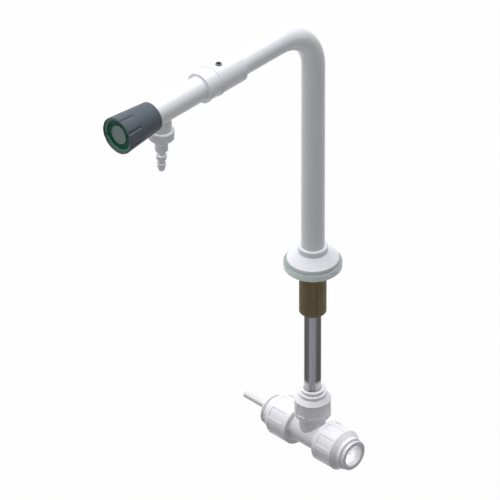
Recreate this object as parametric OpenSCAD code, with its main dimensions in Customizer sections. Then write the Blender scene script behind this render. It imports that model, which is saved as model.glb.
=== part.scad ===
// Bench-mounted laboratory water tap: a bent column with a headwork valve at
// the end of its arm, a serrated hose nozzle below the valve, and a push-fit
// tee on the tail pipe below the bench.
// Millimetres. +Z is up. The origin is on the column's axis, at the bench
// surface. The arm runs along -Y and the tee's run along X.

/* [Column] */
// Outer diameter of the bent column tube
column_d = 22; // [20:0.5:24]
// Wall of the column tube
column_wall = 1.5; // [1:0.1:2]
// Height of the arm's axis above the bench
arm_h = 271.4; // [200:1:340]
// Centreline radius of the bend
bend_r = 47; // [35:1:60]
// Distance from the column's axis to the end of the tube
arm_reach = 127; // [115:1:180]

/* [Arm sleeve] */
// Outer diameter of the sleeve that joins the tube to the valve body
sleeve_d = 28.8; // [27:0.2:32]
// Length of the sleeve
sleeve_len = 33.5; // [31:0.5:40]
// Length of tube inside the sleeve
sleeve_overlap = 28; // [24:0.5:30]
// Diameter of the raised bead at the sleeve's front end
sleeve_bead_d = 30; // [29:0.2:34]
// Width of that bead
sleeve_bead_w = 4; // [2:0.5:6]
// Diameter of the set screw
set_screw_d = 6; // [4:0.5:6.5]
// Distance of the set screw from the end of the tube
set_screw_back = 4.2; // [3.6:0.1:6]
// Width across flats of the set screw's socket
set_socket_af = 3; // [2:0.5:3.5]
// Depth of that socket
set_socket_depth = 2.4; // [1:0.1:3]
// Depth of the set screw's tip in the valve body's spigot
set_screw_bite = 1.2; // [0.6:0.1:1.6]
// Height of the set screw's head above the sleeve's surface
set_screw_proud = 1; // [0.6:0.1:2]

/* [Valve body] */
// Diameter of the body's collar, next to the sleeve
collar_d = 28.8; // [27:0.2:32]
// Length of that collar
collar_len = 12.3; // [8:0.1:18]
// Diameter of the thin bead in front of the collar
body_bead_d = 30; // [29:0.2:34]
// Width of that bead
body_bead_w = 3; // [2:0.5:5]
// Outer diameter of the body's barrel
barrel_d = 24; // [23:0.2:24.4]
// Length of the barrel in front of the bead
barrel_len = 70.2; // [60:0.1:80]
// Length of the spigot that enters the tube
spigot_len = 28; // [24:0.5:30]
// Bore of the spigot
inlet_d = 11; // [8:0.5:12]
// Bore of the chamber that takes the headwork
chamber_d = 19; // [18:0.2:19.6]
// Distance of the valve seat behind the barrel's front end
seat_back = 33.5; // [33.2:0.1:36]
// Length of the narrow bore behind the seat
seat_bore_len = 4; // [2:0.1:6]
// Bore of the valve seat
seat_d = 10; // [8:0.5:10.5]
// Width of the seat's raised lip
seat_lip_w = 1.2; // [0.8:0.1:1.4]
// Height of that lip
seat_lip_h = 1.5; // [0.8:0.1:2]

/* [Outlet] */
// Distance of the outlet's axis behind the barrel's front end
outlet_back = 21.4; // [20:0.1:22]
// Diameter of the outlet boss
boss_d = 19.2; // [18:0.2:20]
// Drop from the arm's axis to the lower face of the boss
boss_drop = 20.1; // [18:0.1:26]
// Diameter of the boss's thread
boss_thread_d = 17; // [15:0.2:17.6]
// Length of the boss's thread
boss_thread_len = 5.4; // [5:0.1:8]
// Bore of the outlet
outlet_d = 9; // [7:0.5:9]
// Outer diameter of the knurled nozzle nut
nut_d = 23.8; // [23:0.2:26]
// Thickness of the nut's inward lip
nut_lip = 1.5; // [1:0.1:2]
// Gap between the nut and the boss
nut_gap = 0.7; // [0.5:0.1:1.5]
// Number of knurls on the nut
nut_knurls = 44; // [30:1:50]
// Depth of a knurl
knurl_depth = 0.4; // [0.2:0.05:0.5]
// Thickness of the nozzle's washer
nozzle_washer_t = 1.5; // [1:0.1:2]
// Thickness of the nozzle's flange
nozzle_flange_t = 1.5; // [1:0.1:2]
// Diameter of the nozzle's plain shoulder
shoulder_d = 12.3; // [11:0.1:13]
// Length of the shoulder below the nut
shoulder_len = 13.6; // [10:0.1:18]
// Bore of the nozzle
nozzle_bore = 4.2; // [3:0.2:5]
// Diameter of the two necks between the barbs
neck_d = 6.8; // [6.4:0.1:7.4]
// Length of each neck
neck_len = 4.1; // [3:0.1:5]
// Largest diameter of the upper barb
barb1_d = 10.6; // [10:0.1:12.4]
// Largest diameter of the lower barb
barb2_d = 8.8; // [8.4:0.1:11]
// Length of each barb
barb_len = 5.2; // [4:0.1:7]
// How much a barb narrows from top to bottom
barb_taper = 1.3; // [0.8:0.1:1.5]
// Length of the nozzle's tip below the lower barb
tip_len = 3.2; // [1:0.1:4]

/* [Headwork] */
// Lift of the valve plug from shut to open
valve_lift = 4; // [2:0.1:4]
// Gap left between the shut washer and the seat
shut_gap = 0.05; // [0.02:0.01:0.1]
// Diameter of the seat washer
seat_washer_d = 14.4; // [14:0.1:15]
// Thickness of the seat washer
seat_washer_t = 3; // [2:0.1:3.4]
// Diameter of the plug's head
plug_head_d = 14.8; // [14:0.1:15.6]
// Thickness of the plug's head
plug_head_t = 3; // [2.5:0.1:3.4]
// Width across flats of the plug's hexagonal stem
plug_af = 12; // [11.6:0.1:12.4]
// Diameter of the spindle's thread in the plug
spindle_thread_d = 6; // [5:0.1:6]
// Length of the spindle's thread
spindle_thread_len = 13.8; // [12:0.1:14.5]
// Diameter of the spindle's thrust collar
thrust_d = 11.6; // [10.6:0.1:11.6]
// Thickness of that collar
thrust_t = 2.5; // [2:0.1:3]
// Diameter of the spindle's shaft
spindle_d = 8; // [7.6:0.1:8.4]
// Width across flats of the spindle's square end
square_af = 5.6; // [4.8:0.1:5.6]
// Length of the square end
square_len = 12.8; // [11:0.1:13]
// Length of the headwork's threaded skirt in the body
headwork_skirt = 15.5; // [15:0.1:16]
// Depth of the hexagonal guide in that skirt
guide_len = 11.5; // [11:0.1:12]
// Width across flats of the headwork's hexagon
headwork_af = 21; // [20:0.5:21]
// Thickness of that hexagon
headwork_hex_t = 4.2; // [3:0.1:5]
// Diameter of the headwork's neck
gland_d = 13; // [12.4:0.1:14]
// Length of the neck in front of the hexagon
gland_len = 8; // [7.4:0.1:8.4]
// Thickness of the headwork's washer
headwork_washer_t = 0.8; // [0.5:0.1:1.2]
// Thickness of the clip on the spindle
clip_t = 0.8; // [0.6:0.1:1]
// Height of the clip above the spindle
clip_h = 1.6; // [1:0.1:2.4]
// Depth of the clip's groove
clip_groove = 0.7; // [0.4:0.1:1]
// Diameter of the screw that holds the seat washer
washer_screw_d = 3; // [2.5:0.1:3.4]
// Length of that screw in the plug
washer_screw_len = 4.6; // [3.5:0.1:5]
// Diameter of that screw's head
washer_screw_head_d = 5.6; // [4.8:0.1:7]
// Thickness of that screw's head
washer_screw_head_t = 1.6; // [1.2:0.1:2]

/* [Knob] */
// Diameter of the knob at its rear edge
knob_rear_d = 28.8; // [28.6:0.2:32]
// Diameter of the knob at its front edge
knob_front_d = 36.6; // [35:0.2:40]
// Length of the knob
knob_len = 44.2; // [43.5:0.1:48]
// How far the knob's rear edge covers the body
knob_cover = 8.6; // [6:0.1:9]
// Radial gap between the knob and the body's barrel
knob_gap = 0.6; // [0.4:0.05:0.8]
// Gap between the spindle's clip and the knob's web
web_gap = 2.3; // [1:0.1:3]
// Thickness of the knob's web
web_t = 2.6; // [2:0.1:4]
// Wall of the knob's hub round the spindle's square
hub_wall = 2.5; // [1.5:0.1:4]
// Thickness of the hub's end wall
hub_end_t = 1.2; // [0.8:0.1:1.4]
// Width of the rim round the knob's face
rim_w = 1.7; // [1.2:0.1:2.2]
// Depth of the face recess that takes the colour ring
face_depth = 4.1; // [3.6:0.1:5]
// Number of finger flutes
flutes = 8; // [6:1:10]
// Width of a flute at the front edge
flute_w = 4.4; // [3:0.1:6]
// Depth of a flute
flute_depth = 1; // [0.5:0.1:1.1]
// Length of a flute from the front edge
flute_len = 16; // [10:0.5:22]
// Radius of the rounding on the knob's edges
knob_round = 0.8; // [0.4:0.1:1.2]
// Thickness of the colour ring's plate
ring_plate_t = 1.1; // [0.8:0.1:1.4]
// Width of the colour ring's toothed rim
ring_rim_w = 1.7; // [1.2:0.1:2.4]
// Height of that rim above the plate
ring_rim_h = 1.7; // [1:0.1:2.2]
// Number of teeth on the rim
ring_teeth = 36; // [24:1:48]
// Width of the ledge that carries the ring
ring_ledge_w = 1.8; // [1:0.1:3]
// Diameter of the centre cap
cap_disc_d = 18.2; // [16:0.2:20]
// Diameter of the stub behind the centre cap
cap_stub_d = 9; // [6:0.2:14]
// Thickness of the centre cap above the plate
cap_disc_t = 1; // [0.6:0.1:1.6]
// Diameter of the knob screw
knob_screw_d = 3; // [2.5:0.1:3.4]
// Length of the knob screw in the spindle
knob_screw_len = 10; // [7:0.5:11]
// Diameter of the knob screw's head
knob_screw_head_d = 7; // [5.5:0.1:7.6]
// Thickness of the knob screw's head
knob_screw_head_t = 2.4; // [1.4:0.1:2.6]

/* [Base] */
// Diameter of the base flange
flange_d = 48.4; // [44:0.2:60]
// Height of the flange's upright edge
flange_edge = 4.4; // [2:0.1:6]
// Height of the flange's dome above its edge
dome_h = 6.9; // [4:0.1:9]
// Diameter of the collar round the column's foot
base_collar_d = 27.6; // [27:0.2:30]
// Height of that collar above the dome
base_collar_h = 6; // [3:0.1:10]
// Depth of the shank's thread in the flange
shank_seat = 7; // [5:0.1:9]
// Diameter of the bench gasket
gasket_d = 54.4; // [50:0.2:66]
// Thickness of the bench gasket
gasket_t = 6; // [2:0.1:8]
// Radial gap between the gasket and the shank
gasket_gap = 0.3; // [0.1:0.1:1]
// Rounding of the gasket's outer edges
gasket_round = 0.6; // [0.2:0.1:0.9]
// Diameter of the threaded shank
shank_d = 25.4; // [24.4:0.1:26.4]
// Length of the shank below the bench surface
shank_len = 51; // [40:1:80]
// Diameter of the shank's thread in the flange
shank_top_d = 24.8; // [23.6:0.1:25.2]
// Chamfer at the shank's lower end
shank_chamfer = 1; // [0.5:0.1:1.6]
// Length of the shank's spigot inside the column
shank_spigot = 22; // [18:0.5:40]
// Bore of the shank's spigot
riser_d = 12; // [9:0.5:13]

/* [Tail pipe] */
// Outer diameter of the tail pipe
tail_d = 16; // [14:0.5:16.4]
// Wall of the tail pipe
tail_wall = 1; // [0.8:0.1:1.5]
// Depth of the tail pipe in the shank
tail_in_shank = 50; // [30:1:50]
// Distance from the bench surface down to the tee's run axis
run_drop = 188.8; // [150:1:240]

/* [Tee run] */
// Outer diameter of the tube that the run ports take
run_tube_d = 20; // [18:0.5:21]
// Diameter of the tee's body between the run caps
run_body_d = 27.6; // [26:0.2:30]
// Distance from the branch axis to a run cap's inner end
run_cap_start = 16.8; // [15:0.1:22]
// Diameter of a run cap's grip
run_cap_d = 39.4; // [38.6:0.2:44]
// Length of the grip
run_grip_len = 23.5; // [22:0.5:30]
// Length of the cone in front of the grip
run_cone_len = 5.2; // [5:0.1:7]
// Diameter of the cap's nose
run_nose_d = 31; // [30:0.2:33]
// Length of the nose
run_nose_len = 3.4; // [2.5:0.1:6]
// Diameter of the collet's flange
run_flange_d = 29; // [28:0.2:33]
// Thickness of the collet's flange
run_flange_t = 1.8; // [1:0.1:3]

/* [Tee branch] */
// Diameter of the tee's branch neck
branch_neck_d = 24.8; // [22:0.2:26]
// Distance from the run axis to the branch cap's lower end
branch_cap_start = 21.6; // [20:0.1:26]
// Diameter of the branch cap's grip
branch_cap_d = 34.4; // [33.6:0.2:38]
// Length of the grip
branch_grip_len = 18.4; // [16:0.1:24]
// Length of the cone in front of the grip
branch_cone_len = 4.2; // [4.2:0.1:6]
// Diameter of the cap's nose
branch_nose_d = 26; // [25.4:0.1:28]
// Length of the nose
branch_nose_len = 3.1; // [2.5:0.1:5]
// Diameter of the collet's flange
branch_flange_d = 23.2; // [22.6:0.2:26]
// Thickness of the collet's flange
branch_flange_t = 1.5; // [1:0.1:3]

/* [Push-fit ports] */
// Flow bore through the tee
flow_d = 14; // [10:0.5:14.4]
// Distance from the tee's centre to each port's tube stop
stop_in = 17; // [15:0.5:18]
// Wall of a collet
collet_wall = 1.9; // [1.5:0.1:2]
// Height of the lip at a collet's inner end
collet_lip = 1; // [0.6:0.1:1.1]
// Length of that lip
lip_len = 2; // [1.5:0.1:2]
// How far a collet can be pressed in
collet_travel = 2; // [1:0.1:2.2]
// Wall of the tee's body round an O-ring
socket_wall = 1.8; // [1.4:0.1:1.8]
// Distance of the tee body's end past a cap's grip
body_past = 0.5; // [0:0.1:0.8]
// Distance of a cap's inner shoulder past its grip
shoulder_past = 3.4; // [3.2:0.1:3.8]
// Radial gap between a collet's lip and the tee's body
lip_gap = 0.3; // [0.2:0.05:0.5]
// Width of the slots in a collet
slot_w = 1.2; // [0.6:0.1:1.6]
// Length of the slots in a collet
slot_len = 4; // [2.5:0.1:6]
// Chamfer at a collet's mouth
mouth_edge = 0.8; // [0.4:0.1:1]
// Thickness of the spacer on an O-ring
spacer_t = 1.8; // [1:0.1:2.4]
// Thickness of a grab ring
grab_t = 0.6; // [0.4:0.1:0.8]
// Number of teeth on a grab ring
grab_teeth = 12; // [8:1:16]
// Length of those teeth
tooth_len = 1.2; // [0.6:0.1:1.6]
// Number of flutes on a cap
cap_flutes = 8; // [6:1:10]
// Depth of a cap's flute
cap_flute_depth = 0.45; // [0.3:0.05:0.8]
// Angle that a flute takes on a cap
cap_flute_angle = 30; // [20:0.5:34]
// Plain band at a cap's inner end
cap_band = 5.2; // [2:0.1:6]
// Plain lip between a flute's outer end and the cap's cone
cap_lip = 0.8; // [0.4:0.1:1.2]
// Turn of the run caps' flutes from straight up
run_flute_turn = 7.6; // [0:0.1:45]
// Turn of the branch cap's flutes from the run
branch_flute_turn = 4; // [0:0.1:45]

/* [Reducer and small tube] */
// Outer diameter of the small tube
small_tube_d = 6.3; // [5:0.1:6.6]
// Wall of the small tube
small_tube_wall = 1; // [0.6:0.1:1.2]
// Length of the small tube outside the reducer
small_tube_out = 31; // [20:1:60]
// Length of the small tube inside the reducer
small_tube_in = 12; // [11:0.5:20]
// Diameter of the reducer's head
reducer_head_d = 22; // [21:0.5:24]
// Thickness of the reducer's head
reducer_head_t = 1.8; // [1:0.1:2.4]
// Outer diameter of the reducer's cartridge
cartridge_d = 14; // [13:0.2:15]
// Depth of that cartridge in the reducer's head
cartridge_len = 6; // [5:0.1:7]
// Wall of the small collet
small_collet_wall = 1.1; // [0.8:0.1:1.2]
// Height of the small collet's lip
small_lip_h = 0.7; // [0.4:0.1:0.9]
// Diameter of the small collet's flange
small_flange_d = 10.6; // [10:0.1:12]
// Thickness of that flange
small_flange_t = 1; // [0.6:0.1:1.2]
// How far the small collet can be pressed in
small_travel = 1; // [0.6:0.1:1.2]

/* [Seals] */
// Section of the O-rings on the spigots and in the shank
ring_section = 1.8; // [1.4:0.1:1.8]
// Section of the spindle's O-rings
spindle_ring_section = 1.4; // [1:0.1:1.4]
// Distance between the two O-rings of a pair
ring_spacing = 5; // [4:0.1:7]
// Distance between the spindle's two O-rings
spindle_ring_spacing = 3.4; // [3:0.1:4]

/* [Fits] */
// Radial clearance of parts that are fixed together
fixed_clear = 0.05; // [0.02:0.01:0.1]
// Radial clearance of parts that turn or slide
run_clear = 0.08; // [0.05:0.01:0.1]
// Spare space beyond a collet's travel
travel_spare = 0.8; // [0.5:0.1:1]
// Gap left at the ends of a moving part's travel
end_gap = 0.35; // [0.2:0.05:0.6]

/* [Edges] */
// Chamfer on the larger turned edges
edge = 0.8; // [0.4:0.05:0.9]
// Chamfer on the finer turned edges
fine_edge = 0.4; // [0.2:0.05:0.5]

/* [Hidden] */

$fn = 96;
// Overlap of a cutting tool past the face that it cuts
eps = 0.01;

// Places along the arm, measured from the column's axis
sleeve_s0 = arm_reach - sleeve_overlap;
sleeve_s1 = sleeve_s0 + sleeve_len;
set_screw_s = arm_reach - set_screw_back;
collar_s1 = sleeve_s1 + collar_len;
bead_s1 = collar_s1 + body_bead_w;
spigot_s0 = sleeve_s1 - spigot_len;
barrel_s1 = bead_s1 + barrel_len;
seat_s = barrel_s1 - seat_back;
outlet_s = barrel_s1 - outlet_back;
headwork_s0 = barrel_s1 - headwork_skirt;
guide_s1 = headwork_s0 + guide_len;
hex_s0 = barrel_s1 + headwork_washer_t;
hex_s1 = hex_s0 + headwork_hex_t;
gland_s1 = hex_s1 + gland_len;

// Places of the plug and the spindle with the valve shut
washer_s0 = seat_s + seat_lip_h + shut_gap;
plug_s0 = washer_s0 + seat_washer_t;
plug_s1 = plug_s0 + plug_head_t;
stem_s1 = guide_s1 - valve_lift - end_gap;
thrust_s0 = guide_s1 + fixed_clear;
thrust_s1 = thrust_s0 + thrust_t;
spindle_s0 = thrust_s0 - spindle_thread_len;
plug_bore_s0 = spindle_s0 - valve_lift - end_gap;
clip_s0 = gland_s1 + 4 * fixed_clear;
square_s0 = clip_s0 + clip_t + fine_edge;
spindle_s1 = square_s0 + square_len;

// Places of the knob
knob_s0 = barrel_s1 - knob_cover;
knob_s1 = knob_s0 + knob_len;
knob_floor_s = knob_s1 - face_depth;
cavity_s1 = clip_s0 + clip_t + web_gap;
hub_d = square_af * sqrt(2) + 2 * hub_wall;
hub_s1 = spindle_s1 + hub_end_t;
knob_draft = (knob_front_d - knob_rear_d) / 2 / knob_len;
face_r = knob_front_d / 2 - rim_w;
ring_r = face_r - fixed_clear;
plate_s1 = knob_floor_s + ring_plate_t;
cap_disc_s1 = plate_s1 + cap_disc_t;

// Drops below the arm's axis at the outlet
thread_drop = boss_drop + boss_thread_len;
nut_top = boss_drop + nut_gap;
washer_drop = thread_drop + fixed_clear;
nozzle_top = washer_drop + nozzle_washer_t + fixed_clear;
nut_lip_top = nozzle_top + nozzle_flange_t + fixed_clear;
nut_bottom = nut_lip_top + nut_lip;
shoulder_bottom = nut_bottom + shoulder_len;

// Heights of the base
dome_z0 = gasket_t + flange_edge;
dome_z1 = dome_z0 + dome_h;
collar_z1 = dome_z1 + base_collar_h;
shank_z1 = gasket_t + shank_seat;
spigot_z1 = shank_z1 + shank_spigot;
tube_r = column_d / 2;
tube_bore_r = tube_r - column_wall;
spigot_r = tube_bore_r - fixed_clear;
tail_top_z = tail_in_shank - shank_len;

// Each port: tube diameter, cap start, grip diameter and length, cone length,
// nose diameter and length, collet flange diameter and thickness
run_port = [run_tube_d, run_cap_start, run_cap_d, run_grip_len, run_cone_len,
    run_nose_d, run_nose_len, run_flange_d, run_flange_t];
branch_port = [tail_d, branch_cap_start, branch_cap_d, branch_grip_len, branch_cone_len,
    branch_nose_d, branch_nose_len, branch_flange_d, branch_flange_t];

// Distances from the tee's centre along a port
function grip_end(p) = p[1] + p[3];
function cone_end(p) = grip_end(p) + p[4];
function nose_end(p) = cone_end(p) + p[6];
function flange_start(p) = nose_end(p) + collet_travel + travel_spare;
function port_end(p) = flange_start(p) + p[8];
function body_end(p) = grip_end(p) + body_past;
function lip_end(p) = grip_end(p) + shoulder_past - run_clear;
function lip_start(p) = lip_end(p) - lip_len;
function grab_start(p) = lip_start(p) - fixed_clear - grab_t;
function spacer_end(p) = grab_start(p) - collet_travel - end_gap;
function spacer_start(p) = spacer_end(p) - spacer_t;
function ring_floor(p) = spacer_start(p) - oring_section(p) - 2 * fixed_clear;

// Radii of a port
function bore_r(p) = p[0] / 2 + fixed_clear;
function collet_r(p) = bore_r(p) + collet_wall;
function lip_r(p) = collet_r(p) + collet_lip;
function socket_r(p) = lip_r(p) + lip_gap;
function thread_r(p) = socket_r(p) + socket_wall;
function oring_section(p) = socket_r(p) - p[0] / 2 - 2 * fixed_clear;

// The reducer in the left port, along the port
head_w0 = port_end(run_port) + fixed_clear;
head_w1 = head_w0 + reducer_head_t;
cartridge_w0 = head_w1 - cartridge_len;
small_w0 = head_w1 - small_tube_in;
small_lip_w0 = cartridge_w0 + fixed_clear + small_travel + end_gap;
small_lip_w1 = small_lip_w0 + lip_len;
small_flange_w0 = head_w1 + small_travel + end_gap;
small_r = small_tube_d / 2;
small_bore_r = small_r + run_clear;
small_collet_r = small_bore_r + small_collet_wall;
small_lip_r = small_collet_r + small_lip_h;

// The frame of the arm: +Z runs out along the arm and +Y is up
module on_arm(s = 0) {
    translate([0, -s, arm_h])
        rotate([90, 0, 0])
            children();
}

// The frame of the outlet: +Z runs down from the arm's axis
module on_outlet() {
    translate([0, -outlet_s, arm_h])
        rotate([180, 0, 0])
            children();
}

// The frame of a run port: +Z runs out from the tee's centre, to +X or -X
module on_run(side) {
    translate([0, 0, -run_drop])
        rotate([0, 90 * side, 0])
            children();
}

// The frame of the branch port: +Z runs up from the tee's centre
module on_branch() {
    translate([0, 0, -run_drop])
        children();
}

// A solid of revolution from its outline of [radius, height] points
module turned(points) {
    rotate_extrude()
        polygon(points);
}

// A tube between two heights
module tube(r_out, r_in, z0, z1) {
    translate([0, 0, z0])
        difference() {
            cylinder(r = r_out, h = z1 - z0);
            translate([0, 0, -eps])
                cylinder(r = r_in, h = z1 - z0 + 2 * eps);
        }
}

// A solid rod between two heights
module rod(r, z0, z1) {
    translate([0, 0, z0])
        cylinder(r = r, h = z1 - z0);
}

// A square or hexagonal bar between two heights
module bar(sides, across_flats, z0, z1) {
    translate([0, 0, z0])
        rotate([0, 0, 180 / sides])
            cylinder(r = across_flats / 2 / cos(180 / sides), h = z1 - z0, $fn = sides);
}

// A ring of round section
module o_ring(r_in, section, z) {
    translate([0, 0, z])
        rotate_extrude()
            translate([r_in + section / 2, 0])
                circle(d = section, $fn = 32);
}

// The two O-rings of a spigot in the column tube, and their grooves
module spigot_rings(z_end, direction) {
    for (i = [1, 2])
        o_ring(spigot_r + fixed_clear - ring_section, ring_section - fixed_clear,
            z_end + direction * i * ring_spacing);
}

module spigot_grooves(z_end, direction) {
    for (i = [1, 2])
        tube(tube_r, spigot_r - ring_section, z_end + direction * i * ring_spacing - ring_section / 2,
            z_end + direction * i * ring_spacing + ring_section / 2);
}

// Column and arm

module column_tube() {
    color("silver")
        difference() {
            tube_path(tube_r);
            tube_path(tube_bore_r, eps);
            set_screw_hole();
        }
}

// The tube's straight foot, quarter bend and straight arm, as a solid of radius r
module tube_path(r, extra = 0) {
    translate([0, 0, shank_z1 - extra])
        cylinder(r = r, h = arm_h - bend_r - shank_z1 + 2 * extra);
    translate([0, -bend_r, arm_h - bend_r])
        rotate([0, 90, 0])
            rotate([0, 0, 90])
                rotate_extrude(angle = 90)
                    translate([bend_r, 0])
                        circle(r = r);
    on_arm(bend_r - extra)
        cylinder(r = r, h = arm_reach - bend_r + 2 * extra);
}

// The hole for the set screw through the top of the sleeve and tube
module set_screw_hole() {
    translate([0, -set_screw_s, arm_h + spigot_r - set_screw_bite])
        cylinder(d = set_screw_d + 2 * fixed_clear, h = sleeve_d);
}

module arm_sleeve() {
    color("silver")
        difference() {
            on_arm()
                turned([
                    [tube_r + fixed_clear, sleeve_s0],
                    [sleeve_d / 2 - edge, sleeve_s0],
                    [sleeve_d / 2, sleeve_s0 + edge],
                    [sleeve_d / 2, sleeve_s1 - sleeve_bead_w],
                    [sleeve_bead_d / 2 - fine_edge / 2, sleeve_s1 - sleeve_bead_w],
                    [sleeve_bead_d / 2, sleeve_s1 - sleeve_bead_w + fine_edge],
                    [sleeve_bead_d / 2, sleeve_s1 - fine_edge],
                    [sleeve_bead_d / 2 - fine_edge / 2, sleeve_s1],
                    [spigot_r + 2 * fixed_clear, sleeve_s1],
                    [spigot_r + 2 * fixed_clear, arm_reach + fixed_clear],
                    [tube_r + fixed_clear, arm_reach + fixed_clear],
                ]);
            set_screw_hole();
        }
}

module set_screw() {
    set_screw_z0 = spigot_r - set_screw_bite + fixed_clear;
    set_screw_z1 = sleeve_d / 2 + set_screw_proud;
    color("dimgray")
        translate([0, -set_screw_s, arm_h])
            difference() {
                rod(set_screw_d / 2, set_screw_z0, set_screw_z1);
                bar(6, set_socket_af, set_screw_z1 - set_socket_depth, set_screw_z1 + eps);
            }
}

// Valve body

module valve_body() {
    color("silver")
        difference() {
            union() {
                on_arm()
                    body_barrel();
                on_outlet() {
                    rod(boss_d / 2, 0, boss_drop);
                    rod(boss_thread_d / 2, 0, thread_drop);
                }
            }
            on_arm()
                body_bores();
            on_outlet()
                rod(outlet_d / 2, 0, thread_drop + eps);
            set_screw_hole();
        }
}

// The collar, bead, barrel and rear spigot
module body_barrel() {
    difference() {
        turned([
            [0, spigot_s0],
            [spigot_r - edge, spigot_s0],
            [spigot_r, spigot_s0 + edge],
            [spigot_r, sleeve_s1],
            [collar_d / 2, sleeve_s1],
            [collar_d / 2, collar_s1],
            [body_bead_d / 2 - fine_edge, collar_s1],
            [body_bead_d / 2, collar_s1 + fine_edge],
            [body_bead_d / 2, bead_s1 - fine_edge],
            [body_bead_d / 2 - fine_edge, bead_s1],
            [barrel_d / 2, bead_s1],
            [barrel_d / 2, barrel_s1],
            [0, barrel_s1],
        ]);
        spigot_grooves(spigot_s0, 1);
    }
}

// The inlet bore, the seat with its lip, and the chamber
module body_bores() {
    rod(inlet_d / 2, spigot_s0 - eps, seat_s - seat_bore_len);
    rod(seat_d / 2, seat_s - seat_bore_len - eps, seat_s + seat_lip_h + eps);
    rod(chamber_d / 2, seat_s + seat_lip_h, barrel_s1 + eps);
    tube(chamber_d / 2, seat_d / 2 + seat_lip_w, seat_s, seat_s + seat_lip_h + eps);
}

module spigot_o_rings() {
    color("black")
        on_arm()
            spigot_rings(spigot_s0, 1);
}

// Headwork

module headwork_body() {
    color("goldenrod")
        on_arm()
            difference() {
                union() {
                    rod(chamber_d / 2 - fixed_clear, headwork_s0, hex_s0);
                    bar(6, headwork_af, hex_s0, hex_s1);
                    rod(gland_d / 2, hex_s1 - eps, gland_s1);
                }
                bar(6, plug_af + 2 * run_clear, headwork_s0 - eps, guide_s1);
                rod(thrust_d / 2 + run_clear, guide_s1 - eps, thrust_s1 + fixed_clear);
                rod(spindle_d / 2 + run_clear, thrust_s1, gland_s1 + eps);
            }
}

module headwork_washer() {
    color("firebrick")
        on_arm()
            tube(barrel_d / 2 - fine_edge, chamber_d / 2, barrel_s1, hex_s0);
}

module spindle() {
    color("gold")
        on_arm()
            difference() {
                union() {
                    rod(spindle_thread_d / 2, spindle_s0, thrust_s0);
                    rod(thrust_d / 2, thrust_s0, thrust_s1);
                    rod(spindle_d / 2, thrust_s1 - eps, square_s0);
                    bar(4, square_af, square_s0 - eps, spindle_s1);
                }
                for (i = [1, 2])
                    tube(spindle_d, spindle_d / 2 - spindle_ring_section,
                        thrust_s1 + i * spindle_ring_spacing - spindle_ring_section / 2,
                        thrust_s1 + i * spindle_ring_spacing + spindle_ring_section / 2);
                tube(spindle_d, spindle_d / 2 - clip_groove, clip_s0, clip_s0 + clip_t);
                rod(knob_screw_d / 2 + fixed_clear, spindle_s1 - knob_screw_len - end_gap, spindle_s1 + eps);
            }
}

module spindle_o_rings() {
    color("black")
        on_arm()
            for (i = [1, 2])
                o_ring(spindle_d / 2 + fixed_clear - spindle_ring_section,
                    spindle_ring_section - fixed_clear / 2, thrust_s1 + i * spindle_ring_spacing);
}

module spindle_clip() {
    color("gray")
        on_arm()
            difference() {
                tube(spindle_d / 2 + clip_h, spindle_d / 2 - clip_groove + fixed_clear,
                    clip_s0 + fixed_clear, clip_s0 + clip_t - fixed_clear);
                translate([0, -spindle_d, clip_s0 + clip_t / 2])
                    cube([spindle_d * 0.6, 2 * spindle_d, 2 * clip_t], center = true);
            }
}

module valve_plug() {
    color("goldenrod")
        on_arm()
            difference() {
                union() {
                    rod(plug_head_d / 2, plug_s0, plug_s1);
                    bar(6, plug_af, plug_s1 - eps, stem_s1);
                }
                rod(spindle_thread_d / 2 + run_clear, plug_bore_s0, stem_s1 + eps);
                rod(washer_screw_d / 2 + fixed_clear, plug_s0 - eps, plug_s0 + washer_screw_len + end_gap);
            }
}

module seat_washer() {
    color("black")
        on_arm()
            tube(seat_washer_d / 2, washer_screw_d / 2 + fixed_clear, washer_s0, plug_s0);
}

module washer_screw() {
    head_s0 = washer_s0 - fixed_clear - washer_screw_head_t;
    color("goldenrod")
        on_arm()
            difference() {
                union() {
                    rod(washer_screw_head_d / 2, head_s0, head_s0 + washer_screw_head_t);
                    rod(washer_screw_d / 2, head_s0 + eps, plug_s0 + washer_screw_len);
                }
                translate([0, 0, head_s0])
                    cube([washer_screw_head_d / 7, 2 * washer_screw_head_d, washer_screw_head_t], center = true);
            }
}

// Knob

// Radius of the knob's side at a place along the arm
function knob_r(s) = knob_rear_d / 2 + (s - knob_s0) * knob_draft;

module knob_shell() {
    color("slategray")
        on_arm()
            difference() {
                turned([
                    [0, knob_s0],
                    [knob_r(knob_s0) - knob_round, knob_s0],
                    for (a = [-60, -30, 0])
                        [knob_r(knob_s0 + knob_round) - knob_round * (1 - cos(a)),
                            knob_s0 + knob_round * (1 + sin(a))],
                    for (a = [0, 30, 60])
                        [knob_r(knob_s1 - knob_round) - knob_round * (1 - cos(a)),
                            knob_s1 - knob_round * (1 - sin(a))],
                    [knob_r(knob_s1) - knob_round, knob_s1],
                    [0, knob_s1],
                ]);
                rod(face_r, knob_floor_s, knob_s1 + eps);
                tube(face_r - ring_ledge_w, hub_d / 2, cavity_s1 + web_t, knob_floor_s + eps);
                rod(hub_d / 2 + eps, hub_s1, knob_floor_s + eps);
                rod(barrel_d / 2 + knob_gap, knob_s0 - eps, cavity_s1);
                bar(4, square_af + 2 * fixed_clear, cavity_s1 - eps, spindle_s1 + fixed_clear);
                rod(knob_screw_d / 2 + fixed_clear, spindle_s1, hub_s1 + eps);
                knob_flutes();
            }
}

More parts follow.
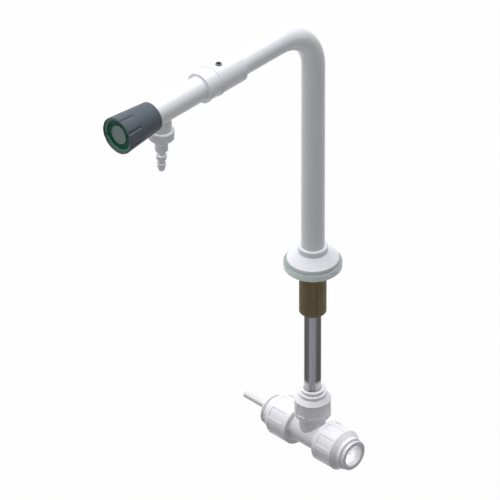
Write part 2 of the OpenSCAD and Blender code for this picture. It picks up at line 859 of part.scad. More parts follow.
// Round-bottomed grooves from the front edge, each with a round rear end
module knob_flutes() {
    flute_r = flute_w / 2;
    for (i = [0:flutes - 1])
        rotate([0, 0, (i + 0.7) * 360 / flutes])
            translate([knob_r(knob_s1) + flute_r - flute_depth, 0, knob_s1])
                rotate([0, 180 + atan(knob_draft), 0]) {
                    translate([0, 0, -flute_w])
                        cylinder(r = flute_r, h = flute_len + flute_w);
                    translate([0, 0, flute_len])
                        sphere(r = flute_r, $fn = 48);
                }
}

module knob_screw() {
    head_s0 = hub_s1 + fixed_clear;
    head_s1 = head_s0 + knob_screw_head_t;
    color("gray")
        on_arm()
            difference() {
                union() {
                    rod(knob_screw_d / 2, spindle_s1 - knob_screw_len, head_s0 + eps);
                    rod(knob_screw_head_d / 2, head_s0, head_s1);
                }
                for (a = [0, 90])
                    rotate([0, 0, a])
                        translate([0, 0, head_s1])
                            cube([knob_screw_d * 0.3, knob_screw_head_d * 0.6, knob_screw_head_t], center = true);
            }
}

module colour_ring() {
    tooth_w = PI * (ring_r * 2 - ring_rim_w) / ring_teeth / 2;
    color("darkgreen")
        on_arm()
            difference() {
                union() {
                    tube(ring_r, cap_stub_d / 2 + fixed_clear, knob_floor_s, plate_s1);
                    tube(ring_r, ring_r - ring_rim_w, knob_floor_s, plate_s1 + ring_rim_h);
                }
                for (i = [0:ring_teeth - 1])
                    rotate([0, 0, i * 360 / ring_teeth])
                        translate([ring_r - ring_rim_w / 2, 0, plate_s1 + ring_rim_h])
                            cube([ring_rim_w * 2, tooth_w, ring_rim_h], center = true);
            }
}

module centre_cap() {
    color("gray")
        on_arm()
            union() {
                turned([
                    [0, plate_s1],
                    [cap_disc_d / 2, plate_s1],
                    [cap_disc_d / 2, cap_disc_s1 - fine_edge],
                    [cap_disc_d / 2 - fine_edge, cap_disc_s1],
                    [cap_disc_d / 2 - 3 * fine_edge, cap_disc_s1],
                    [cap_disc_d / 2 - 4 * fine_edge, cap_disc_s1 - fine_edge / 2],
                    [0, cap_disc_s1 - fine_edge / 2],
                ]);
                rod(cap_stub_d / 2, knob_floor_s, plate_s1 + eps);
            }
}

// Outlet

module nozzle_nut() {
    nut_r = nut_d / 2;
    color("silver")
        on_outlet()
            difference() {
                intersection() {
                    translate([0, 0, nut_top])
                        linear_extrude(nut_bottom - nut_top)
                            knurled_outline(nut_r);
                    turned([
                        [0, nut_top],
                        [nut_r - edge, nut_top],
                        [nut_r + eps, nut_top + edge],
                        [nut_r + eps, nut_bottom - edge],
                        [nut_r - edge, nut_bottom],
                        [0, nut_bottom],
                    ]);
                }
                rod(boss_thread_d / 2 + run_clear, nut_top - eps, nut_lip_top);
                rod(shoulder_d / 2 + run_clear, nut_top, nut_bottom + eps);
            }
}

// A circle with small vee grooves round it
module knurled_outline(r) {
    groove_w = knurl_depth * 2;
    difference() {
        circle(r = r);
        for (i = [0:nut_knurls - 1])
            rotate([0, 0, i * 360 / nut_knurls])
                polygon([
                    [r - knurl_depth, 0],
                    [r + knurl_depth, -groove_w],
                    [r + knurl_depth, groove_w],
                ]);
    }
}

// One barb: a sharp upper edge, then a cone that narrows downwards
function barb(d, top) = [
    [neck_d / 2, top],
    [d / 2, top + edge],
    [d / 2 - barb_taper / 2, top + barb_len],
    [neck_d / 2, top + barb_len + fine_edge / 2],
];

module nozzle() {
    barb1_top = shoulder_bottom + neck_len;
    barb2_top = barb1_top + barb_len + neck_len;
    tip_top = barb2_top + barb_len;
    color("silver")
        on_outlet()
            difference() {
                turned(concat(
                    [
                        [0, nozzle_top],
                        [boss_thread_d / 2 - fine_edge, nozzle_top],
                        [boss_thread_d / 2 - fine_edge, nozzle_top + nozzle_flange_t],
                        [shoulder_d / 2, nozzle_top + nozzle_flange_t],
                        [shoulder_d / 2, shoulder_bottom - edge],
                        [shoulder_d / 2 - edge, shoulder_bottom],
                        [neck_d / 2, shoulder_bottom + fine_edge],
                    ],
                    barb(barb1_d, barb1_top),
                    barb(barb2_d, barb2_top),
                    [
                        [neck_d / 2 - fine_edge, tip_top + tip_len - edge],
                        [neck_d / 2 - edge, tip_top + tip_len],
                        [0, tip_top + tip_len],
                    ]
                ));
                rod(nozzle_bore / 2, nozzle_top - eps, tip_top + tip_len + eps);
            }
}

module nozzle_washer() {
    color("dimgray")
        on_outlet()
            tube(boss_thread_d / 2 - fine_edge, outlet_d / 2, washer_drop, washer_drop + nozzle_washer_t);
}

// Base

module base_flange() {
    edge_r = flange_d / 2;
    collar_r = base_collar_d / 2;
    color("gainsboro")
        turned([
            [shank_top_d / 2 + fixed_clear, gasket_t],
            [edge_r, gasket_t],
            [edge_r, dome_z0 - edge],
            [edge_r - fine_edge / 2, dome_z0 - fine_edge],
            [edge_r - edge, dome_z0],
            [collar_r + edge, dome_z1 - edge / 2],
            [collar_r + fine_edge / 2, dome_z1],
            [collar_r, dome_z1 + edge],
            [collar_r, collar_z1 - edge],
            [collar_r - edge, collar_z1],
            [tube_r + fixed_clear, collar_z1],
            [tube_r + fixed_clear, shank_z1 + fixed_clear],
            [shank_top_d / 2 + fixed_clear, shank_z1 + fixed_clear],
        ]);
}

module bench_gasket() {
    color("darkseagreen")
        turned([
            [shank_top_d / 2 + gasket_gap, 0],
            [gasket_d / 2 - gasket_round, 0],
            [gasket_d / 2, gasket_round],
            [gasket_d / 2, gasket_t - gasket_round],
            [gasket_d / 2 - gasket_round, gasket_t],
            [shank_top_d / 2 + gasket_gap, gasket_t],
        ]);
}

module shank() {
    shank_r = shank_d / 2;
    color("saddlebrown")
        difference() {
            turned([
                [0, -shank_len],
                [shank_r - shank_chamfer, -shank_len],
                [shank_r, -shank_len + shank_chamfer],
                [shank_r, 0],
                [shank_top_d / 2, 0],
                [shank_top_d / 2, shank_z1],
                [spigot_r, shank_z1],
                [spigot_r, spigot_z1 - edge],
                [spigot_r - edge, spigot_z1],
                [0, spigot_z1],
            ]);
            spigot_grooves(spigot_z1, -1);
            rod(riser_d / 2, tail_top_z, spigot_z1 + eps);
            rod(tail_d / 2 + fixed_clear, -shank_len - eps, tail_top_z + fixed_clear);
            for (i = [1, 2])
                rod(tail_d / 2 + ring_section, tail_top_z - i * ring_spacing - ring_section / 2,
                    tail_top_z - i * ring_spacing + ring_section / 2);
        }
}

module column_o_rings() {
    color("black")
        spigot_rings(spigot_z1, -1);
}

module tail_pipe() {
    color("lightslategray")
        tube(tail_d / 2, tail_d / 2 - tail_wall, stop_in + fixed_clear - run_drop, tail_top_z);
}

module tail_o_rings() {
    color("black")
        for (i = [1, 2])
            o_ring(tail_d / 2 + fixed_clear / 2, ring_section - fixed_clear, tail_top_z - i * ring_spacing);
}

// Push-fit tee

// The outside of one port of the tee's body
module port_outside(p, neck_r) {
    rod(neck_r, 0, p[1] + edge);
    rod(thread_r(p), p[1] + edge, body_end(p));
}

// The tube socket and O-ring chamber of one port
module port_inside(p) {
    rod(flow_d / 2, 0, stop_in + eps);
    rod(bore_r(p), stop_in, body_end(p) + eps);
    rod(socket_r(p), ring_floor(p), body_end(p) + eps);
}

module tee_body() {
    color("white")
        difference() {
            union() {
                for (side = [-1, 1])
                    on_run(side)
                        port_outside(run_port, run_body_d / 2);
                on_branch()
                    port_outside(branch_port, branch_neck_d / 2);
            }
            for (side = [-1, 1])
                on_run(side)
                    port_inside(run_port);
            on_branch()
                port_inside(branch_port);
        }
}

module port_cap(p, flute_turn) {
    cap_r = p[2] / 2;
    nose_r = p[5] / 2;
    color("white")
        difference() {
            turned([
                [0, p[1]],
                [cap_r - edge, p[1]],
                [cap_r, p[1] + edge],
                [cap_r, grip_end(p)],
                [nose_r, cone_end(p)],
                [nose_r, nose_end(p) - fine_edge],
                [nose_r - fine_edge, nose_end(p)],
                [0, nose_end(p)],
            ]);
            rod(thread_r(p) + run_clear, p[1] - eps, body_end(p) + end_gap);
            rod(socket_r(p), p[1], lip_end(p) + run_clear);
            rod(collet_r(p) + run_clear, p[1], nose_end(p) + eps);
            for (i = [0:cap_flutes - 1])
                rotate([0, 0, flute_turn + i * 360 / cap_flutes - cap_flute_angle / 2])
                    translate([0, 0, p[1] + cap_band])
                        rotate_extrude(angle = cap_flute_angle)
                            translate([cap_r - cap_flute_depth, 0])
                                square([2 * cap_flute_depth, p[3] - cap_band - cap_lip]);
        }
}

module port_collet(p) {
    color("whitesmoke")
        difference() {
            turned([
                [bore_r(p), lip_start(p)],
                [lip_r(p) - fine_edge, lip_start(p)],
                [lip_r(p), lip_start(p) + fine_edge],
                [lip_r(p), lip_end(p)],
                [collet_r(p), lip_end(p)],
                [collet_r(p), flange_start(p)],
                [p[7] / 2 - fine_edge, flange_start(p)],
                [p[7] / 2, flange_start(p) + fine_edge],
                [p[7] / 2, port_end(p) - fine_edge],
                [p[7] / 2 - fine_edge, port_end(p)],
                [bore_r(p) + mouth_edge, port_end(p)],
                [bore_r(p), port_end(p) - mouth_edge],
            ]);
            for (a = [0, 45, 90, 135])
                rotate([0, 0, a])
                    translate([0, 0, lip_start(p)])
                        cube([p[7] * 2, slot_w, 2 * slot_len], center = true);
        }
}

module port_o_ring(p) {
    color("black")
        o_ring(p[0] / 2 + fixed_clear, oring_section(p), ring_floor(p) + fixed_clear + oring_section(p) / 2);
}

module port_spacer(p) {
    color("lightgray")
        tube(socket_r(p) - fixed_clear, bore_r(p) + 4 * fixed_clear, spacer_start(p), spacer_end(p));
}

// A thin steel ring with teeth that point at the tube
module port_grab_ring(p) {
    color("gray")
        difference() {
            tube(lip_r(p) - run_clear, bore_r(p), grab_start(p), grab_start(p) + grab_t);
            for (i = [0:grab_teeth - 1])
                rotate([0, 0, i * 360 / grab_teeth])
                    translate([bore_r(p), 0, grab_start(p) + grab_t / 2])
                        cube([2 * tooth_len, PI * p[0] / grab_teeth / 2.4, 2 * grab_t], center = true);
        }
}

module left_cap() { on_run(-1) port_cap(run_port, -run_flute_turn); }
module right_cap() { on_run(1) port_cap(run_port, run_flute_turn); }
module branch_cap() { on_branch() port_cap(branch_port, branch_flute_turn); }
module left_collet() { on_run(-1) port_collet(run_port); }
module right_collet() { on_run(1) port_collet(run_port); }
module branch_collet() { on_branch() port_collet(branch_port); }
module left_o_ring() { on_run(-1) port_o_ring(run_port); }
module right_o_ring() { on_run(1) port_o_ring(run_port); }
module branch_o_ring() { on_branch() port_o_ring(branch_port); }
module left_spacer() { on_run(-1) port_spacer(run_port); }
module right_spacer() { on_run(1) port_spacer(run_port); }
module branch_spacer() { on_branch() port_spacer(branch_port); }
module left_grab_ring() { on_run(-1) port_grab_ring(run_port); }
module right_grab_ring() { on_run(1) port_grab_ring(run_port); }
module branch_grab_ring() { on_branch() port_grab_ring(branch_port); }

// Reducer and small tube in the left port

module reducer_stem() {
    color("white")
        on_run(-1)
            difference() {
                union() {
                    rod(run_tube_d / 2, stop_in + fixed_clear, head_w0);
                    rod(reducer_head_d / 2, head_w0, head_w1);
                }
                rod(small_r - small_tube_wall, stop_in, head_w1);
                rod(small_r + fixed_clear, small_w0 - fixed_clear, head_w1);
                rod(small_r + ring_section, cartridge_w0 - ring_section - fixed_clear, head_w1);
                rod(cartridge_d / 2, cartridge_w0, head_w1 + eps);
            }
}

module reducer_o_ring() {
    color("black")
        on_run(-1)
            o_ring(small_r + fixed_clear / 2, ring_section - fixed_clear,
                cartridge_w0 - (ring_section + fixed_clear) / 2);
}

module reducer_cartridge() {
    color("gainsboro")
        on_run(-1)
            difference() {
                tube(cartridge_d / 2 - fixed_clear, small_collet_r + run_clear, cartridge_w0 + fixed_clear, head_w1);
                rod(small_lip_r + run_clear, cartridge_w0, small_lip_w1 + fixed_clear);
            }
}

module reducer_collet() {
    color("whitesmoke")
        on_run(-1)
            turned([
                [small_bore_r, small_lip_w0],
                [small_lip_r, small_lip_w0],
                [small_lip_r, small_lip_w1],
                [small_collet_r, small_lip_w1],
                [small_collet_r, small_flange_w0],
                [small_flange_d / 2, small_flange_w0],
                [small_flange_d / 2, small_flange_w0 + small_flange_t],
                [small_bore_r, small_flange_w0 + small_flange_t],
            ]);
}

module small_tube() {
    color("lightgray")
        on_run(-1)
            tube(small_tube_d / 2, small_tube_d / 2 - small_tube_wall, small_w0, head_w1 + small_tube_out);
}

column_tube();
arm_sleeve();
set_screw();
valve_body();
spigot_o_rings();
headwork_body();
headwork_washer();
spindle();
spindle_o_rings();
spindle_clip();
valve_plug();
seat_washer();
washer_screw();
knob_shell();
knob_screw();
colour_ring();
centre_cap();
nozzle_nut();
nozzle();
nozzle_washer();
base_flange();
bench_gasket();
shank();
column_o_rings();
tail_pipe();
tail_o_rings();
tee_body();
left_cap();
right_cap();
branch_cap();
left_collet();
right_collet();
branch_collet();
left_o_ring();
right_o_ring();
branch_o_ring();
left_spacer();
right_spacer();
branch_spacer();
left_grab_ring();
right_grab_ring();
branch_grab_ring();
reducer_stem();
reducer_o_ring();
reducer_cartridge();
reducer_collet();
small_tube();
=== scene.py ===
"""Looks for the water tap: finishes, floor, lamps and camera round the fixed CAD frame.

Lengths are metres in the CAD's frame: +Z is up, the arm runs along -Y, and the tee's run
lies along X. Colours are linear.
"""

import math

import bpy
from mathutils import Matrix, Vector


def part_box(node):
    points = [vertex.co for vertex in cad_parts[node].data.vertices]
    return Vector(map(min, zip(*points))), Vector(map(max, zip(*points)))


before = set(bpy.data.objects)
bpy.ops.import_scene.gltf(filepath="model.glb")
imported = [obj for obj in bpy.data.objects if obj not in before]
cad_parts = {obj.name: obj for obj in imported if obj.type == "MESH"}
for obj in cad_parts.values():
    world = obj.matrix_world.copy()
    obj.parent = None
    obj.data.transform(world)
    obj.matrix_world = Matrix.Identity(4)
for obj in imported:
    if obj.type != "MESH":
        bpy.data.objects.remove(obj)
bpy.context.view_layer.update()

MM = 0.001
RIGHT = Vector((1, 1, 0)).normalized()  # the picture's right, level
FRONT = Vector((1, -1, 0)).normalized()  # towards the camera, level
UP = Vector((0, 0, 1))


def lowest(node):
    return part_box(node)[0]


def highest(node):
    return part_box(node)[1]


def middle(node):
    return (lowest(node) + highest(node)) / 2


def near(place, first, last):
    """Where a change starts and where it ends, each given in millimetres from place."""
    return place + first * MM, place + last * MM


# Places on the tap that its finishes follow
KNOB_AXIS_Z = middle("centre_cap").z
KNOB_RIM_RADIUS = near(highest("colour_ring").x, -2.05, -1.45)  # from plate to toothed rim
GASKET_SHADE_Z = near(highest("bench_gasket").z, -1.0, -0.2)  # from the pale side to the top, which is painted darker as shade
SHANK_PITCH = 0.9 * MM
PIPE_FOOT_Z = near(highest("branch_collet").z, 11.2, 7.2)  # from the painted bands to the foot's painted reflection
BROAD_BANDS, NARROW_BANDS = 3, 12  # painted reflection bands round the pipe
BAND_TURN = math.radians(147)  # turns the broad bands to where the photograph shows them
RUN_AXIS_Z = middle("right_collet").z
# Where the tee's open port has its painted glow, an emission standing in for light falling in
PORT_RADIUS = near(highest("right_o_ring").y, -0.3, 0.2)
PORT_DEEP_X = near(lowest("right_cap").x, 0.2, 7.2)
PORT_MOUTH_X = near(highest("right_cap").x, -3.9, 0.6)
PORT_LEAN_Y, PORT_LEAN_Z = 0.45, 0.89  # the way up in the port, in the photograph
PORT_GLOW_FADE = (-6 * MM, 5 * MM)  # where the port's painted glow fades out, from its lower wall to its upper one, that way


# Node helpers


def math_node(tree, operation, *values):
    """The result of a maths node in tree. Its values are numbers or sockets."""
    made = tree.nodes.new("ShaderNodeMath")
    made.operation = operation
    for socket, value in zip(made.inputs, values):
        if isinstance(value, (int, float)):
            socket.default_value = value
        else:
            tree.links.new(value, socket)
    return made.outputs[0]


class Finish:
    """One procedural material: a Principled shader and the nodes that feed it."""

    def __init__(self, name):
        self.name = name
        self.material = bpy.data.materials.new(name)
        self.material.use_nodes = True
        self.tree = self.material.node_tree
        self.tree.nodes.clear()
        self.out = self.node("ShaderNodeOutputMaterial")
        self.shader = self.node("ShaderNodeBsdfPrincipled")
        self.link(self.shader.outputs["BSDF"], self.out.inputs["Surface"])
        self.coords = self.node("ShaderNodeTexCoord").outputs["Object"]

    def node(self, kind, **settings):
        made = self.tree.nodes.new(kind)
        for key, value in settings.items():
            setattr(made, key, value)
        return made

    def link(self, source, target):
        self.tree.links.new(source, target)

    def set(self, **sockets):
        """Give the shader's sockets, named with _ for a space, plain values."""
        for key, value in sockets.items():
            self.shader.inputs[key.replace("_", " ")].default_value = value

    def math(self, operation, *values):
        return math_node(self.tree, operation, *values)

    def stretched(self, stretch):
        """Object coordinates squeezed by stretch, so that noise runs in streaks."""
        made = self.node("ShaderNodeMapping")
        made.inputs["Scale"].default_value = stretch
        self.link(self.coords, made.inputs["Vector"])
        return made.outputs["Vector"]

    def noise(self, size, detail=3.0, rough=0.55, stretch=None):
        """Noise whose blotches are about size metres across."""
        made = self.node("ShaderNodeTexNoise")
        made.inputs["Scale"].default_value = 1.0 / size
        made.inputs["Detail"].default_value = detail
        made.inputs["Roughness"].default_value = rough
        self.link(self.stretched(stretch) if stretch else self.coords, made.inputs["Vector"])
        return made.outputs["Fac"]

    def spread(self, value, first, last, start=0.3, stop=0.7):
        """first where value is at start, last where it is at stop, and even in between.
        Noise lies mostly within the default start and stop."""
        made = self.node("ShaderNodeMapRange")
        made.inputs["From Min"].default_value = start
        made.inputs["From Max"].default_value = stop
        made.inputs["To Min"].default_value = first
        made.inputs["To Max"].default_value = last
        self.link(value, made.inputs["Value"])
        return made.outputs["Result"]

    def rise(self, value, *ends):
        """From 0 to 1 between the ends."""
        return self.spread(value, 0, 1, *ends)

    def fall(self, value, *ends):
        """From 1 to 0 between the ends."""
        return self.spread(value, 1, 0, *ends)

    def blend(self, factor, first, second):
        """Mix of two colours, given or linked."""
        made = self.node("ShaderNodeMix", data_type="RGBA")
        self.link(factor, made.inputs[0])
        colour_a, colour_b = made.inputs[6], made.inputs[7]
        for socket, value in ((colour_a, first), (colour_b, second)):
            if isinstance(value, tuple):
                socket.default_value = (*value, 1.0)
            else:
                self.link(value, socket)
        return made.outputs[2]

    def colour(self, socket):
        self.link(socket, self.shader.inputs["Base Color"])

    def roughness(self, socket):
        self.link(socket, self.shader.inputs["Roughness"])

    def axis(self, name, middle=0.0):
        """The X, Y or Z coordinate, measured from middle."""
        split = self.node("ShaderNodeSeparateXYZ")
        self.link(self.coords, split.inputs[0])
        return self.math("SUBTRACT", split.outputs[name], middle)

    def distance(self, a, b):
        squares = self.math("ADD", self.math("MULTIPLY", a, a), self.math("MULTIPLY", b, b))
        return self.math("SQRT", squares)

    def bump(self, height, depth, strength=1.0, edge=0.0):
        """Relief of depth metres from height. edge rounds the shading of sharp edges."""
        made = self.node("ShaderNodeBump")
        made.inputs["Strength"].default_value = strength
        made.inputs["Distance"].default_value = depth
        self.link(height, made.inputs["Height"])
        if edge:
            soft = self.node("ShaderNodeBevel", samples=6)
            soft.inputs["Radius"].default_value = edge
            self.link(soft.outputs["Normal"], made.inputs["Normal"])
        self.link(made.outputs["Normal"], self.shader.inputs["Normal"])


def shade(colour, factor):
    return tuple(c * factor for c in colour)


# Finishes


def coated(name, colour, peel, edge=0.0):
    """Baked satin coating: orange peel, cloudy tint and faint handling marks."""
    f = Finish(name)
    cloud = f.noise(30 * MM, detail=2)
    marks = f.noise(4 * MM, detail=6, rough=0.7, stretch=(1, 1, 0.25))
    tint = f.blend(f.rise(cloud), shade(colour, 0.975), colour)
    marked = f.spread(marks, 0, 0.35, start=0.6, stop=0.78)
    f.colour(f.blend(marked, tint, shade(colour, 0.9)))
    f.roughness(f.spread(marks, 0.14, 0.26))
    f.bump(f.noise(peel, detail=2, rough=0.5), depth=0.03 * MM, strength=0.5, edge=edge)
    f.set(IOR=1.5)
    return f


def moulded(name, colour, rough, grain, depth, edge=0.0, dirt=0.9, gloss=0.5):
    """Moulded plastic: sandy grain, flow clouds and dull rubbed patches."""
    f = Finish(name)
    flow = f.noise(18 * MM, detail=3, rough=0.6)
    sand = f.noise(grain, detail=3, rough=0.6)
    wear_and_painted_reflection = f.noise(5 * MM, detail=5, rough=0.65)
    tint = f.blend(f.rise(flow), shade(colour, 0.955), colour)
    soiled = f.spread(wear_and_painted_reflection, 0, 0.5, start=0.62, stop=0.8)
    f.colour(f.blend(soiled, tint, shade(colour, dirt)))
    f.roughness(f.spread(wear_and_painted_reflection, rough - 0.05, rough + 0.07))
    f.bump(sand, depth, strength=0.6, edge=edge)
    f.set(IOR=1.49, Specular_IOR_Level=gloss)
    return f


def white_plastic():
    """White moulded plastic. The tee's open port has a painted glow: an emission on its inner
    wall, brightest on the lower wall, that stands in for light falling in.
    """
    f = moulded(
        "white_plastic",
        (0.865, 0.865, 0.9),
        rough=0.32,
        grain=0.6 * MM,
        depth=0.02 * MM,
        edge=0.4 * MM,
        dirt=0.95,
    )
    # Painted glow: emission on the open port's inner wall, fading from its lower wall up
    along, across, height = f.axis("X"), f.axis("Y"), f.axis("Z", RUN_AXIS_Z)
    in_bore = f.fall(f.distance(across, height), *PORT_RADIUS)
    in_port = f.math("MULTIPLY", f.rise(along, *PORT_DEEP_X), f.fall(along, *PORT_MOUTH_X))
    way_up = f.math(
        "ADD",
        f.math("MULTIPLY", across, PORT_LEAN_Y),
        f.math("MULTIPLY", height, PORT_LEAN_Z),
    )
    painted_port_glow = f.spread(way_up, 0.5, 0.0, *PORT_GLOW_FADE)
    painted_glow_strength = f.math("MULTIPLY", f.math("MULTIPLY", in_bore, in_port), painted_port_glow)
    f.link(painted_glow_strength, f.shader.inputs["Emission Strength"])
    f.set(Emission_Color=(1.0, 0.99, 1.0, 1.0))
    return f


def metal(name, colour, rough, stretch):
    """Drawn or turned metal: streaks along stretch, tarnish clouds, wear in the gloss."""
    f = Finish(name)
    streak = f.noise(0.8 * MM, detail=4, rough=0.6, stretch=stretch)
    tarnish = f.noise(9 * MM, detail=4, rough=0.6)
    tint = f.blend(f.rise(streak), shade(colour, 0.88), colour)
    tarnished = f.spread(tarnish, 0, 0.5, start=0.5, stop=0.75)
    f.colour(f.blend(tarnished, tint, shade(colour, 0.8)))
    f.roughness(f.spread(streak, rough * 0.75, rough * 1.3))
    f.bump(streak, depth=0.01 * MM, strength=0.5)
    f.set(Metallic=1.0)
    return f


def green_ring():
    """The knob's colour ring: a paler toothed rim round a deep green plate."""
    f = Finish("green_plastic")
    radius = f.distance(f.axis("X"), f.axis("Z", KNOB_AXIS_Z))
    flow = f.noise(4 * MM, detail=4, rough=0.6)
    plate = f.blend(f.rise(flow), (0.0035, 0.056, 0.028), (0.0065, 0.125, 0.066))
    teeth = f.blend(f.rise(flow), (0.10, 0.27, 0.20), (0.20, 0.42, 0.34))
    f.colour(f.blend(f.rise(radius, *KNOB_RIM_RADIUS), plate, teeth))
    f.roughness(f.spread(flow, 0.28, 0.4))
    f.bump(f.noise(0.5 * MM, detail=3), depth=0.02 * MM, strength=0.5, edge=0.15 * MM)
    f.set(Specular_IOR_Level=0.08)
    return f


def dull_brass():
    """Darkened brass: drawn streaks over a fine turned thread."""
    f = Finish("dull_brass")
    streak = f.noise(2.6 * MM, detail=4, rough=0.6, stretch=(1, 1, 0.03))
    patch = f.noise(9 * MM, detail=4, rough=0.65)
    tint = f.blend(f.rise(streak), (0.103, 0.080, 0.040), (0.150, 0.118, 0.064))
    patched = f.spread(patch, 0, 0.55, start=0.45, stop=0.75)
    f.colour(f.blend(patched, tint, (0.122, 0.080, 0.032)))
    f.roughness(f.spread(patch, 0.4, 0.58))
    thread = f.math("PINGPONG", f.axis("Z"), SHANK_PITCH / 2)
    relief = f.math("ADD", thread, f.math("MULTIPLY", streak, 0.1 * MM))
    f.bump(relief, depth=1.0, strength=0.35)  # the relief is in metres already
    f.set(Metallic=0.45, Specular_IOR_Level=0.1)
    return f


def streaked_chrome():
    """Dull dark chrome with painted reflections: broad and narrow light and dark bands round
    the pipe over fine streaks, and a foot painted paler as the reflection of the tee's
    collet."""
    f = Finish("chrome_pipe")
    # Painted reflections: light and dark bands set by the turn round the pipe
    turn = f.math("ARCTAN2", f.axis("Y"), f.axis("X"))
    broad = f.math("COSINE", f.math("ADD", f.math("MULTIPLY", turn, BROAD_BANDS), BAND_TURN))
    narrow = f.math("COSINE", f.math("MULTIPLY", turn, NARROW_BANDS))
    faint = f.math("MULTIPLY", narrow, 0.22)
    fine = f.spread(f.noise(2.6 * MM, detail=3, rough=0.5, stretch=(1, 1, 0.01)), -0.35, 0.35)
    tone = f.rise(f.math("ADD", f.math("ADD", broad, faint), fine), -1.0, 1.2)
    painted_reflection_bands = f.blend(tone, (0.036, 0.036, 0.038), (0.245, 0.243, 0.26))
    wear_and_painted_reflection = f.blend(tone, (0.5, 0.5, 0.51), (0.2, 0.2, 0.21))
    # Painted reflection: the foot, below the bands, is painted paler as the collet's
    # reflection
    f.colour(f.blend(f.rise(f.axis("Z"), *PIPE_FOOT_Z), painted_reflection_bands, wear_and_painted_reflection))
    f.roughness(f.spread(f.noise(9 * MM, detail=4, rough=0.6), 0.14, 0.24))
    f.bump(fine, depth=0.01 * MM, strength=0.5)
    f.set(Metallic=1.0)
    return f


def gasket():
    """Milky silicone rubber that lets some light through. Its side is painted pale and its
    top face dark: painted light and shade that make them render alike.
    """
    f = Finish("gasket_rubber")
    cloud = f.noise(7 * MM, detail=4, rough=0.6)
    # Painted light and shade: a pale colour for the side, a much darker one for the top face
    side = f.blend(f.rise(cloud), (0.69, 0.79, 0.765), (0.80, 0.90, 0.87))
    top = f.blend(f.rise(cloud), (0.28, 0.325, 0.31), (0.33, 0.375, 0.36))
    f.colour(f.blend(f.rise(f.axis("Z"), *GASKET_SHADE_Z), side, top))
    f.roughness(f.spread(f.noise(3 * MM, detail=4), 0.28, 0.45))
    f.bump(f.noise(0.9 * MM, detail=3), depth=0.03 * MM, strength=0.5, edge=0.5 * MM)
    f.set(Subsurface_Weight=0.35, Subsurface_Radius=(0.6, 0.8, 0.7), Subsurface_Scale=4 * MM)
    return f


PAINT = (0.79, 0.80, 0.835)
DARK_STEEL = (0.2, 0.2, 0.205)
SPRING_STEEL = (0.6, 0.6, 0.6)
BRASS = (0.78, 0.58, 0.28)
SEAL = (0.03, 0.03, 0.032)
FIBRE = (0.42, 0.09, 0.05)
KNOB = (0.104, 0.123, 0.143)
KNOB_CAP = (0.19, 0.245, 0.24)
SMALL_TUBE = (0.72, 0.73, 0.74)
FINISHES = {
    finish.name: finish.material
    for finish in (
        coated("coated_tube", PAINT, peel=1.4 * MM),
        coated("coated_fitting", PAINT, peel=1.0 * MM, edge=0.35 * MM),
        metal("dark_steel", DARK_STEEL, rough=0.4, stretch=(1, 1, 0.1)),
        metal("spring_steel", SPRING_STEEL, rough=0.25, stretch=(1, 1, 1)),
        moulded("seal_rubber", SEAL, rough=0.55, grain=0.6 * MM, depth=0.03 * MM),
        metal("brass", BRASS, rough=0.3, stretch=(1, 0.05, 1)),
        dull_brass(),
        moulded("fibre_washer", FIBRE, rough=0.7, grain=0.7 * MM, depth=0.06 * MM),
        moulded(
            "knob_plastic",
            KNOB,
            rough=0.42,
            grain=0.45 * MM,
            depth=0.04 * MM,
            edge=0.35 * MM,
            gloss=0.12,
        ),
        green_ring(),
        moulded(
            "grey_plastic",
            KNOB_CAP,
            rough=0.4,
            grain=0.5 * MM,
            depth=0.03 * MM,
            edge=0.3 * MM,
            gloss=0.25,
        ),
        gasket(),
        streaked_chrome(),
        white_plastic(),
        moulded(
            "small_tube_plastic",
            SMALL_TUBE,
            rough=0.3,
            grain=0.6 * MM,
            depth=0.02 * MM,
            dirt=0.95,
        ),
    )
}
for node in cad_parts.values():
    for slot in node.material_slots:
        slot.material = FINISHES[slot.material.name.split(".")[0]]


# Floor, world and lamps

FLOOR_Z = lowest("right_cap").z - 121.5 * MM  # clear of the tee, which hangs below the bench
FLOOR_RADIUS = 16.0
DARK_PATCH = (0.3, 0.4)  # radii between which the floor's dark patch gives way
FLOOR_WHITE = 0.985  # share of plain white in the floor, as the camera sees it
CEILING = [(UP, 0.5), (UP + Vector((-0.6, 0, 0)), 0.35)]
CEILING_FOCUS = 8.0
LAMP_DISTANCE = 4.0
LAMP_SIZE = 1.6


def seen_directly(tree):
    """1 for rays from the camera, a mirror or clear plastic, 0 for diffuse light."""
    path = tree.nodes.new("ShaderNodeLightPath")
    total = path.outputs["Is Camera Ray"]
    for ray in ("Is Glossy Ray", "Is Transmission Ray"):
        total = math_node(tree, "MAXIMUM", total, path.outputs[ray])
    return total


def pale_floor():
    """A floor that the camera sees as white. It throws little light up near the tap, so
    that undersides stay grey."""
    bpy.ops.mesh.primitive_circle_add(
        vertices=96, radius=FLOOR_RADIUS, fill_type="NGON", location=(0, 0, FLOOR_Z)
    )
    floor = bpy.context.object
    floor.name = "pale_floor"
    f = Finish("pale_floor")
    grain = f.noise(60 * MM, detail=5)
    reach = f.distance(f.axis("X"), f.axis("Y"))
    tone = f.blend(f.rise(reach, *DARK_PATCH), (0.05, 0.05, 0.051), (0.42, 0.42, 0.424))
    f.colour(f.blend(f.spread(grain, 0, 0.03), tone, (1.0, 1.0, 1.0)))
    f.roughness(f.spread(grain, 0.8, 0.95))
    white = f.node("ShaderNodeEmission")
    both = f.node("ShaderNodeMixShader")
    f.link(f.math("MULTIPLY", seen_directly(f.tree), FLOOR_WHITE), both.inputs["Fac"])
    f.link(f.shader.outputs["BSDF"], both.inputs[1])
    f.link(white.outputs[0], both.inputs[2])
    f.link(both.outputs[0], f.out.inputs["Surface"])
    floor.data.materials.append(f.material)


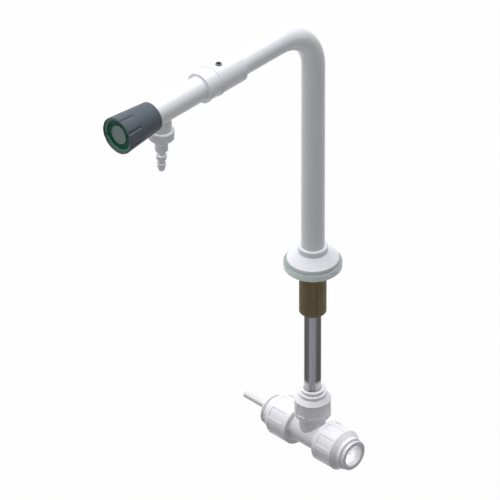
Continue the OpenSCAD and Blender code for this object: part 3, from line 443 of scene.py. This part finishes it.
def white_world(ceiling, focus):
    """White for the camera and for mirrors. Diffuse surfaces see a soft ceiling of lights,
    each given as a direction and how bright it renders a white surface that faces it. A
    higher focus makes them narrower."""
    world = bpy.data.worlds.new("studio")
    bpy.context.scene.world = world
    world.use_nodes = True
    tree = world.node_tree
    tree.nodes.clear()
    rays = tree.nodes.new("ShaderNodeTexCoord").outputs["Generated"]
    total = 0.0
    for towards, level in ceiling:
        facing = tree.nodes.new("ShaderNodeVectorMath")
        facing.operation = "DOT_PRODUCT"
        facing.inputs[1].default_value = towards.normalized()
        tree.links.new(rays, facing.inputs[0])
        ahead = math_node(tree, "MAXIMUM", facing.outputs["Value"], 0.0)
        lobe = math_node(tree, "POWER", ahead, focus)
        share = math_node(tree, "MULTIPLY", lobe, level * (focus + 2) / 2)
        total = math_node(tree, "ADD", total, share)
    out = tree.nodes.new("ShaderNodeOutputWorld")
    both = tree.nodes.new("ShaderNodeMixShader")
    soft = tree.nodes.new("ShaderNodeBackground")
    soft.inputs["Color"].default_value = (0.98, 0.98, 1.0, 1.0)
    tree.links.new(total, soft.inputs["Strength"])
    white = tree.nodes.new("ShaderNodeBackground")
    white.inputs["Color"].default_value = (1.0, 1.0, 1.0, 1.0)
    tree.links.new(seen_directly(tree), both.inputs["Fac"])
    tree.links.new(soft.outputs[0], both.inputs[1])
    tree.links.new(white.outputs[0], both.inputs[2])
    tree.links.new(both.outputs[0], out.inputs["Surface"])


def lamp(name, towards, level, colour=(1, 1, 1), shadow=True):
    """A soft lamp. level is how bright it renders a white surface that faces it. Without
    shadow it also lights what lies behind other pieces, as the photograph's light does."""
    data = bpy.data.lights.new(name, "AREA")
    data.shape = "DISK"
    data.size = LAMP_SIZE
    data.energy = level * math.pi**2 * LAMP_DISTANCE**2
    data.color = colour
    data.use_shadow = shadow
    made = bpy.data.objects.new(name, data)
    made.location = towards.normalized() * LAMP_DISTANCE
    made.rotation_euler = (-towards).to_track_quat("-Z", "Y").to_euler()
    made.visible_camera = False
    bpy.context.scene.collection.objects.link(made)


pale_floor()
white_world(CEILING, CEILING_FOCUS)
lamp("top", UP + Vector((-0.3, -0.1, 0)), 0.4, shadow=False)
lamp("front", UP + Vector((0, -0.8, 0)), 0.1, shadow=False)
lamp("back", UP + Vector((0, 0.7, 0)), 0.12)
lamp("rim_left", -0.9 * RIGHT - 0.42 * FRONT + 0.3 * UP, 0.02)
lamp("rim_right", 0.95 * RIGHT - 0.2 * FRONT + 0.13 * UP, 0.03, colour=(0.9, 0.9, 1.0))


# Camera

LENS = 1500.0  # mm, long enough to give the photograph's parallel view
SENSOR = 36.0  # mm
VIEW_WIDTH = 0.45888  # across the frame at the tap
VIEW_REACH = 60.0
AZIMUTH, ELEVATION = math.radians(44.5555), math.radians(35.329)
ASIDE, ABOVE = -0.05769, 0.01419  # the frame's middle from the origin, on the picture's axes


def photo_camera():
    level = math.cos(ELEVATION)
    towards = Vector(
        (math.sin(AZIMUTH) * level, -math.cos(AZIMUTH) * level, math.sin(ELEVATION))
    )
    right = Vector((math.cos(AZIMUTH), math.sin(AZIMUTH), 0))
    up = towards.cross(right)
    data = bpy.data.cameras.new("photo_camera")
    data.lens = LENS
    data.sensor_width = SENSOR
    data.clip_end = VIEW_REACH
    camera = bpy.data.objects.new("photo_camera", data)
    spot = ASIDE * right + ABOVE * up + towards * (VIEW_WIDTH * LENS / SENSOR)
    axes = Matrix((right, up, towards)).transposed().to_4x4()
    camera.matrix_world = Matrix.Translation(spot) @ axes
    bpy.context.scene.collection.objects.link(camera)
    bpy.context.scene.camera = camera


photo_camera()
bpy.context.scene.view_settings.view_transform = "Standard"
